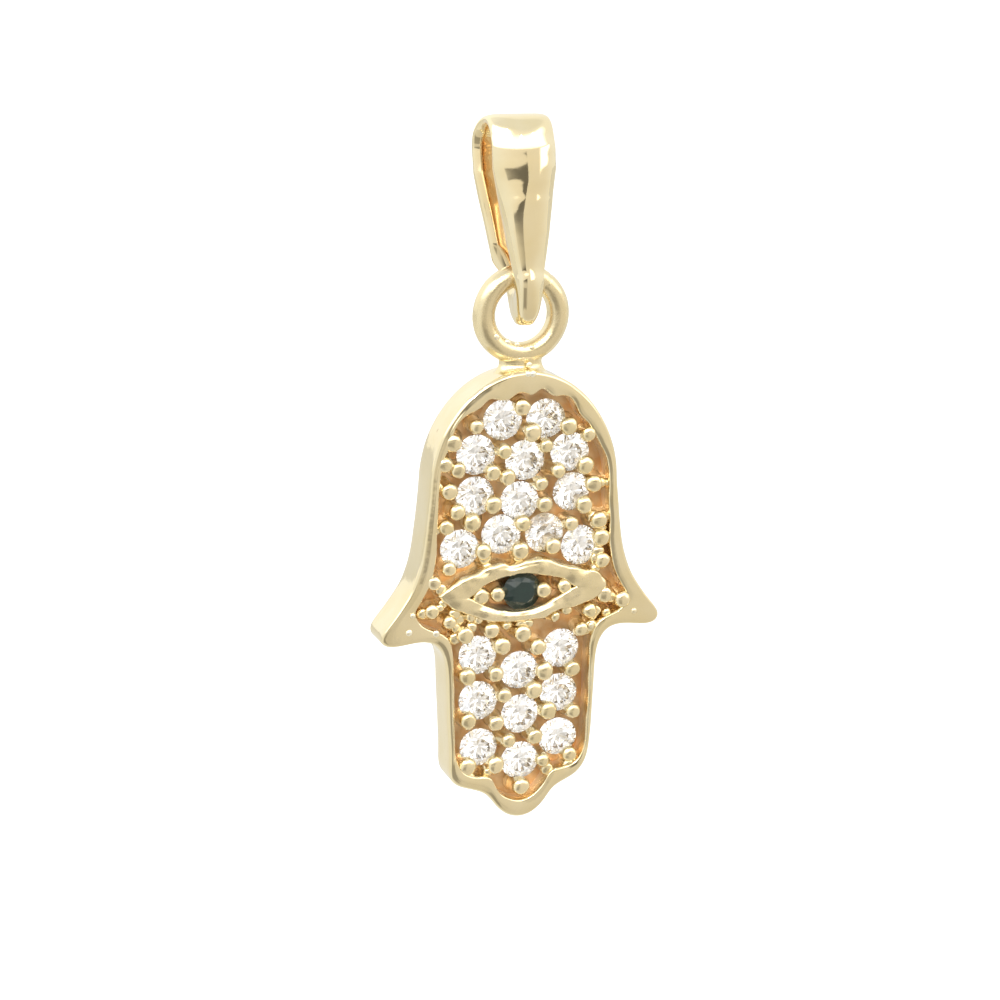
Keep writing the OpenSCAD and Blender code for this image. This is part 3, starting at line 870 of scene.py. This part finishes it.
# The share of the thickness that the dome takes: on the flat top, on the back, and down the front leg
FLAT_SHARE = 0.45
BACK_SHARE = 0.95
DOME_HEIGHTS = (0.2, 1.2, 2.3)
DOME_SHARES = (0.70, 0.66, 0.95)
# The outside starts to dome and is fully domed this many degrees above the front, round the upper bend
DOME_STARTS, DOME_FULL = 78, 16
# Across a half width u the outside rises as (1 - |u| ** power) ** bend
FLAT_POWER, DOMED_POWER = 7.0, 2.1
FLAT_BEND, DOMED_BEND = 0.55, 0.78
# The back leg is wider on each side. Low down it is instead narrower and thinner, by these shares.
BACK_FULLER = 0.12
BACK_NARROWER = 0.30
BACK_THINNER = 0.35
LOW_STARTS, LOW_LENGTH = 0.50, 0.70


def bail_outside(z):
    """How far the outside lies before or behind the loop's middle: fuller towards the top."""
    k = (z - 0.10) / BAIL_REACH
    return LEG_HALF + (HALF_TOP - LEG_HALF) * k * (2 - k)


def bail_sections():
    """Outer and inner points of the loop in its side view, in order round the loop: y, z."""
    tip = HINGE_R + TIP_T
    bend_rows, leg_rows = 56, 60
    turns = np.linspace(0, math.pi, bend_rows, endpoint=False)
    pairs = []
    for a in turns:
        pairs.append(((-HALF_TOP * math.cos(a), BAIL_REACH + HALF_TOP * math.sin(a)),
                      (-HOLE_R * math.cos(a), BAIL_REACH + HOLE_R * math.sin(a))))
    for s in np.linspace(0, 1, leg_rows, endpoint=False):
        z = BAIL_REACH * (1 - s)
        pairs.append(((bail_outside(z), z), (HINGE_R + (HOLE_R - HINGE_R) * (1 - s), z)))
    for a in turns:
        pairs.append(((bail_outside(0) * math.cos(a), -tip * math.sin(a)),
                      (HINGE_R * math.cos(a), -HINGE_R * math.sin(a))))
    for s in np.linspace(0, 1, leg_rows, endpoint=False):
        z = BAIL_REACH * s
        pairs.append(((-bail_outside(z), z), (-(HINGE_R + (HOLE_R - HINGE_R) * s), z)))
    return pairs


def ledges(z):
    """How far the front leg stands proud: soft steps, each fuller below."""
    return sum(0.5 * rise * (1 - math.tanh((z - place) / half)) for place, rise, half in LEDGES)


def bail_half_width(z):
    """Half the width across the loop, before the back leg's own changes."""
    if z >= BAND_FOOT:
        return TOP_HALF_W
    if z >= 0:
        return TIP_HALF_W + (TOP_HALF_W - TIP_HALF_W) * z / BAND_FOOT
    return TIP_HALF_W + TIP_TAPER * z


def dome_progress(y, z):
    """0 on the broad flat top and on the back, 1 down the front leg."""
    if z > BAIL_REACH:
        above_front = math.degrees(math.atan2(z - BAIL_REACH, -y))
        return smoothstep((DOME_STARTS - above_front) / (DOME_STARTS - DOME_FULL))
    blend_length = 0.6  # mm from back to front over which the lower bend changes
    return clamp(0.5 - y / blend_length)


def make_bail():
    """The loop: a broad flat top that rounds to a domed front on its way down to the blunt tip."""
    columns = 32
    hole_r = RING_R - WIRE_R
    # The edges flare round the ring's hole up to this height, and cut in by this share of the thickness
    flare_height, flare_limit = 0.9, 0.6
    swell = 0.05
    grid = []
    for out, inn in bail_sections():
        out, inn = np.array(out), np.array(inn)
        behind = clamp(out[0] / LEG_HALF)
        low = smoothstep((LOW_STARTS - out[1]) / LOW_LENGTH)
        half_w = (bail_half_width(out[1]) * (1 - BACK_NARROWER * behind * low)
                  + BACK_FULLER * behind * (1 - low))
        out = out + (inn - out) * BACK_THINNER * behind * low
        y, z = out
        thick = np.linalg.norm(out - inn)
        d = (out - inn) / thick
        near_hinge = clamp(1 - inn[1] / flare_height)
        below = max(0.0, -z)
        domed = dome_progress(y, z)
        # The dome is a little squarer halfway down the leg
        squarer = 0.6 * clamp(2.5 - z) * clamp(z / 0.8)
        power = FLAT_POWER - (FLAT_POWER - DOMED_POWER - squarer) * domed + 0.5 * below
        bend = FLAT_BEND + (DOMED_BEND - FLAT_BEND) * domed - 0.2 * clamp(below)
        share, step, ridge = BACK_SHARE, 0.0, 0.0
        if y < 0:
            share = np.interp(z, DOME_HEIGHTS, DOME_SHARES)
            step = ledges(z) * min(1.0, -y / 0.5)
            ridge = np.interp(z, RIDGE_HEIGHTS, RIDGE_SHIFTS)
        depth = FLAT_SHARE + (share - FLAT_SHARE) * domed - 0.25 * below
        shoulder, dome = thick * (1 - depth), thick * depth + swell * domed
        ring = []
        for i in range(columns + 1):
            u = -math.cos(math.pi * i / columns)
            rise = (1 - min(1.0, abs(u + ridge * (1 - u * u))) ** power) ** bend
            ring.append((half_w * u, *(inn + d * (shoulder + step + dome * rise))))
        for i in range(1, columns):
            u = math.cos(math.pi * i / columns)
            flare = hole_r - math.sqrt(max(0.05, hole_r ** 2 - (half_w * u) ** 2))
            edge = 0.5 * shoulder * abs(u) ** 8
            ring.append((half_w * u, *(inn + d * min(edge + flare * near_hinge, thick * flare_limit))))
        grid.append(ring)
    grid = np.array(grid)
    normals = grid_normals(grid)
    points = cast_finish(grid.reshape(-1, 3), normals.reshape(-1, 3), seed=31, depth=0.010, size=0.9)
    lean = np.array(Matrix.Rotation(-BAIL_LEAN, 3, "X"))
    points = points @ lean.T + np.array([0, HAND_T / 2, RING_R])
    return make_mesh("bail_loop", points, grid_faces(*grid.shape[:2]), [bright_polish])


# Putting the pendant together


def put(obj, body, slot, *nodes):
    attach(obj, body)
    if nodes:
        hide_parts(*nodes)


put(make_rim(), "hand", "gold", "hand_setting")
put(make_tray(), "hand", "gold")
put(make_eye_band(), "hand", "gold")
put(make_top_ring(), "hand", "gold")
put(make_neck(), "hand", "gold")
put(make_prongs(), "hand", "gold")
put(make_grains(), "hand", "gold")
put(make_pips(), "hand", "gold")
put(make_white_stones(), "hand", "white_stone", *["stone_%02d" % i for i in range(1, 22)])
put(make_eye_stone(), "hand", "dark_stone", "eye_stone")
put(make_bail(), "bail", "gold", "bail")


# Floor, light and camera


# The tent's brightness for light that passes through the stones, and an even light added to that
STONE_LIGHT = 0.80
STONE_FILL = 0.36
STRIP_LIGHT = 2.3
WINDOW_LIGHT = 2.6
# Small lamps, for the glints on the stones and the beads: x, y, z in m
LAMPS = [(-0.070, -0.050, 0.080), (-0.030, -0.075, 0.080), (0.012, -0.080, 0.080),
         (0.054, -0.062, 0.080), (-0.030, -0.100, 0.052)]


def make_floor():
    """Pale paper behind and below the piece. It reads as white, and as pale grey in reflections."""
    near, far, half, low = -0.004, 3.0, 3.0, -0.034
    mesh = bpy.data.meshes.new("floor")
    mesh.from_pydata([(-half, near, low), (half, near, low), (half, far, low), (-half, far, low)], [],
                     [(0, 1, 2, 3)])
    floor = placed("floor", mesh)
    material, tree, shader = new_material("floor_paper")
    shader.inputs["Base Color"].default_value = (0.60, 0.60, 0.59, 1)
    shader.inputs["Roughness"].default_value = 0.8
    shader.inputs["Specular IOR Level"].default_value = 0.1
    shader.inputs["Emission Color"].default_value = (1, 1, 1, 1)
    glow_in_metal, glow = 0.02, 0.6
    seen = joined(tree, "MAXIMUM", ray(tree, "Is Camera Ray"), ray(tree, "Is Transmission Ray"))
    tree.links.new(spread(tree, seen, 0, 1, glow_in_metal, glow), shader.inputs["Emission Strength"])
    mesh.materials.append(material)


def make_tent():
    """A white light tent with a bright strip above its front and a small window at the right.

    Its front is dull and warm, with a dark upright slit and a weaker dark patch below that.
    """
    world = bpy.data.worlds.new("tent")
    bpy.context.scene.world = world
    world.use_nodes = True
    tree = world.node_tree
    tree.nodes.clear()
    where = add_node(tree, "ShaderNodeTexCoord", {}, "Generated")

    def part(direction):
        return add_node(tree, "ShaderNodeVectorMath", {0: where, 1: direction}, "Value",
                        operation="DOT_PRODUCT")

    def ramp(value, low, high, to_low=0, to_high=1):
        return spread(tree, value, low, high, to_low, to_high, kind="SMOOTHSTEP")

    def band(value, rise, fall):
        """1 between a soft rise and a soft fall, 0 beyond them."""
        return times(tree, ramp(value, *rise), ramp(value, *fall, 1, 0))

    def toward(direction, wide, narrow, to_low, to_high):
        """From one level outside a cone to another inside it; the angles are in degrees."""
        return ramp(part(Vector(direction).normalized()), math.cos(math.radians(wide)),
                    math.cos(math.radians(narrow)), to_low, to_high)

    slit_bearing = math.radians(-9)
    across = part((math.cos(slit_bearing), math.sin(slit_bearing), 0))
    ahead = part((math.sin(slit_bearing), -math.cos(slit_bearing), 0))
    height = part((0, 0, 1))
    in_front, left_edge = ramp(ahead, 0.2, 0.4), (-0.52, -0.46)
    slanted = joined(tree, "SUBTRACT", height, spread(tree, across, -1, 1, -0.20, 0.20))
    slit = times(tree, in_front, band(across, left_edge, (0.355, 0.38)), ramp(height, -0.65, -0.5),
                 ramp(slanted, 0.20, 0.23, 1, 0), ramp(height, -0.06, 0.20, 0.14, 0.80))
    patch = times(tree, in_front, band(across, left_edge, (0.18, 0.24)),
                  ramp(height, -0.74, -0.66, 0, 0.50), ramp(height, -0.22, -0.16, 1, 0))
    dark = spread(tree, joined(tree, "MAXIMUM", slit, patch), 0, 1, 1, 0)
    strip = times(tree, band(height, (0.34, 0.40), (0.68, 0.76)), ramp(ahead, 0.05, 0.30))
    window = times(tree, band(across, (0.76, 0.82), (0.95, 0.985)), band(height, (0.13, 0.17), (0.30, 0.35)),
                   ramp(ahead, 0.0, 0.06))
    bright = joined(tree, "MAXIMUM", spread(tree, strip, 0, 1, 1, STRIP_LIGHT),
                    spread(tree, window, 0, 1, 1, WINDOW_LIGHT))
    front = times(tree, toward((0.30, -0.8, -0.55), 80, 20, 1.02, 0.86),
                  spread(tree, height, -0.9, 0.5, 0.84, 1.06))
    ceiling = ramp(height, 0.74, 0.88, 1, 0.87)
    left = toward((-0.5, 0.7, 0.5), 60, 20, 1, 1.15)
    through = ray(tree, "Is Transmission Ray")
    strength = times(tree, dark, bright, front, left, ceiling, spread(tree, through, 0, 1, 1, STONE_LIGHT))
    strength = joined(tree, "ADD", strength, spread(tree, through, 0, 1, 0, STONE_FILL))
    white, warm = (1, 1, 1, 1), (1, 0.93, 0.83, 1)
    colour = blend_colours(tree, toward((0.3, -0.9, -0.3), 85, 35, 0, 1), white, warm)
    tent = add_node(tree, "ShaderNodeBackground", {"Color": colour, "Strength": strength})
    plain = add_node(tree, "ShaderNodeBackground", {"Color": white})
    seen = add_node(tree, "ShaderNodeMixShader", {0: ray(tree, "Is Camera Ray"), 1: tent, 2: plain})
    tree.links.new(seen, tree.nodes.new("ShaderNodeOutputWorld").inputs["Surface"])


def make_lamp(name, place, power, radius):
    lamp = bpy.data.lights.new(name, "POINT")
    lamp.energy = power
    lamp.shadow_soft_size = radius
    placed(name, lamp).location = place


def make_camera():
    """The photograph's view: about 20 degrees to the left of the face and 14 above it."""
    azimuth, elevation, roll = (math.radians(a) for a in (-19.5, 14.339, 0.797))
    focal_px, picture_px = 2089.46, 1000
    place = (np.array([-20.991, -56.976, 9.989]) + DRAWING_ORIGIN) * MM
    ahead = Vector((-math.sin(azimuth) * math.cos(elevation), math.cos(azimuth) * math.cos(elevation),
                    -math.sin(elevation)))
    right = Vector((math.cos(azimuth), math.sin(azimuth), 0))
    up = right.cross(ahead)
    right, up = (right * math.cos(roll) + up * math.sin(roll),
                 up * math.cos(roll) - right * math.sin(roll))
    data = bpy.data.cameras.new("camera")
    data.sensor_width = 36
    data.lens = focal_px / picture_px * data.sensor_width
    data.clip_start, data.clip_end = 0.001, 10
    camera = placed("camera", data)
    camera.matrix_world = Matrix((
        (right.x, up.x, -ahead.x, place[0]),
        (right.y, up.y, -ahead.y, place[1]),
        (right.z, up.z, -ahead.z, place[2]),
        (0, 0, 0, 1),
    ))
    bpy.context.scene.camera = camera


make_floor()
make_tent()
for number, place in enumerate(LAMPS, 1):
    make_lamp("lamp_%d" % number, place, power=0.060, radius=0.0022)
make_camera()

scene = bpy.context.scene
scene.view_settings.view_transform = "Standard"
scene.cycles.max_bounces = 24
scene.cycles.glossy_bounces = 12
scene.cycles.transmission_bounces = 20
scene.cycles.transparent_max_bounces = 8
